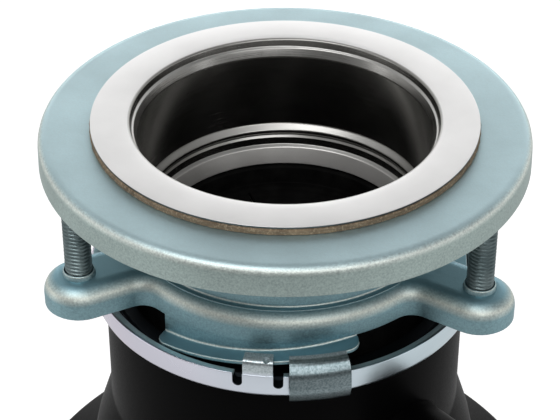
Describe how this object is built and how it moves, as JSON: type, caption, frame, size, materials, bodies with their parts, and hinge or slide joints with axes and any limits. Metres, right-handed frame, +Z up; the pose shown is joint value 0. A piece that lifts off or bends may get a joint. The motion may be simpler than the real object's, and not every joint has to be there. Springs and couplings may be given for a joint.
{
  "type": "kitchen garbage disposal",
  "caption": "Under-sink food waste disposer with a three-bolt sink mount, swivel lock ring, black housing, waste elbow and dishwasher inlet.",
  "frame": {"origin": "centre of the sink flange's rim, level with its outer edge, where the disposal hangs from the sink", "axes": "+Z up along the motor shaft and out of the throat, +X towards the waste outlet, -Y the front"},
  "size_m": [0.2562, 0.185, 0.36],
  "materials": {
    "stainless": "polished and lightly brushed stainless steel",
    "grinding_steel": "stainless steel, ground",
    "fibre": "compressed brown fibre board",
    "zinc_plate": "clear blue zinc plate on pressed steel",
    "bright_zinc": "bright zinc plate with a pale pink and blue sheen",
    "plain_zinc": "zinc plated sheet",
    "bolt_steel": "zinc plated steel, rolled thread",
    "rubber": "matt black moulded rubber",
    "seal_rubber": "black rubber",
    "chamber_cast": "die-cast metal",
    "black_plastic": "black moulded plastic, satin with fine texture",
    "elbow_plastic": "black moulded plastic pipe",
    "relay_plastic": "black electrical moulding",
    "shaft_steel": "ground steel",
    "lamination": "stacked electrical steel",
    "copper": "enamelled copper wire",
    "bronze": "sintered bronze",
    "red_plastic": "red moulded plastic",
    "green_screw": "green coated steel"
  },
  "bodies": {
    "disposal": {"sink_flange": "stainless", "shredder_ring": "grinding_steel", "mounting_ring": "zinc_plate", "elbow_flange": "plain_zinc", "wiring_cover": "plain_zinc", "snap_ring": "bolt_steel", "cushion_mount": "rubber", "splash_guard": "rubber", "chamber_seal": "seal_rubber", "discharge_gasket": "seal_rubber", "shaft_seal": "seal_rubber", "grind_chamber": "chamber_cast", "drain_housing": "chamber_cast", "lower_end_frame": "chamber_cast", "upper_housing": "black_plastic", "lower_shell": "black_plastic", "discharge_elbow": "elbow_plastic", "start_relay": "relay_plastic", "overload_protector": "relay_plastic", "stator_core": "lamination", "stator_winding": "copper", "upper_bearing": "bronze", "lower_bearing": "bronze", "thrust_washer": "bronze", "ground_screw": "green_screw", "wiring_cover_screw": "bolt_steel", "elbow_screw_1": "bolt_steel", "elbow_screw_2": "bolt_steel", "shell_screw_1": "bolt_steel", "shell_screw_2": "bolt_steel", "shell_screw_3": "bolt_steel", "flange_bolt_1": "bolt_steel", "flange_bolt_2": "bolt_steel", "flange_bolt_3": "bolt_steel", "flange_bolt_4": "bolt_steel", "through_bolt_1": "bolt_steel", "through_bolt_2": "bolt_steel", "through_bolt_3": "bolt_steel", "through_bolt_4": "bolt_steel"},
    "clamp_stack": {"backing_ring": "zinc_plate", "fibre_gasket": "fibre"},
    "bolt_1": {"mounting_bolt_1": "bolt_steel"},
    "bolt_2": {"mounting_bolt_2": "bolt_steel"},
    "bolt_3": {"mounting_bolt_3": "bolt_steel"},
    "swivel": {"swivel_ring": "bright_zinc"},
    "rotor": {"motor_shaft": "shaft_steel", "rotor_core": "lamination", "slinger": "seal_rubber", "turntable": "grinding_steel", "turntable_nut": "bolt_steel", "impeller_rivet_1": "bolt_steel", "impeller_rivet_2": "bolt_steel"},
    "lug_1": {"impeller_1": "grinding_steel"},
    "lug_2": {"impeller_2": "grinding_steel"},
    "button": {"reset_button": "red_plastic"}
  },
  "joints": [
    {"name": "clamp_travel", "type": "slide", "parent": "disposal", "child": "clamp_stack", "axis": [0, 0, -1], "range_m": [0, 0.012]},
    {"name": "bolt_1_travel", "type": "slide", "parent": "disposal", "child": "bolt_1", "axis": [0, 0, -1], "range_m": [0, 0.012]},
    {"name": "bolt_2_travel", "type": "slide", "parent": "disposal", "child": "bolt_2", "axis": [0, 0, -1], "range_m": [0, 0.012]},
    {"name": "bolt_3_travel", "type": "slide", "parent": "disposal", "child": "bolt_3", "axis": [0, 0, -1], "range_m": [0, 0.012]},
    {"name": "ring_turn", "type": "hinge", "parent": "disposal", "child": "swivel", "pos_m": [0, 0, -0.056], "axis": [0, 0, 1], "range_deg": [-38, 0]},
    {"name": "rotor_spin", "type": "hinge", "parent": "disposal", "child": "rotor", "pos_m": [0, 0, -0.25], "axis": [0, 0, 1], "continuous": true},
    {"name": "lug_1_swing", "type": "hinge", "parent": "rotor", "child": "lug_1", "pos_m": [0.038, 0, -0.16], "axis": [0, 0, 1], "continuous": true},
    {"name": "lug_2_swing", "type": "hinge", "parent": "rotor", "child": "lug_2", "pos_m": [-0.038, 0, -0.16], "axis": [0, 0, 1], "continuous": true},
    {"name": "reset_press", "type": "slide", "parent": "disposal", "child": "button", "axis": [0, 0, 1], "range_m": [0, 0.0025], "stiffness_N_per_m": 500}
  ],
  "couplings": [
    {"joint": "bolt_1_travel", "follows": "clamp_travel", "ratio": 1},
    {"joint": "bolt_2_travel", "follows": "clamp_travel", "ratio": 1},
    {"joint": "bolt_3_travel", "follows": "clamp_travel", "ratio": 1}
  ]
}
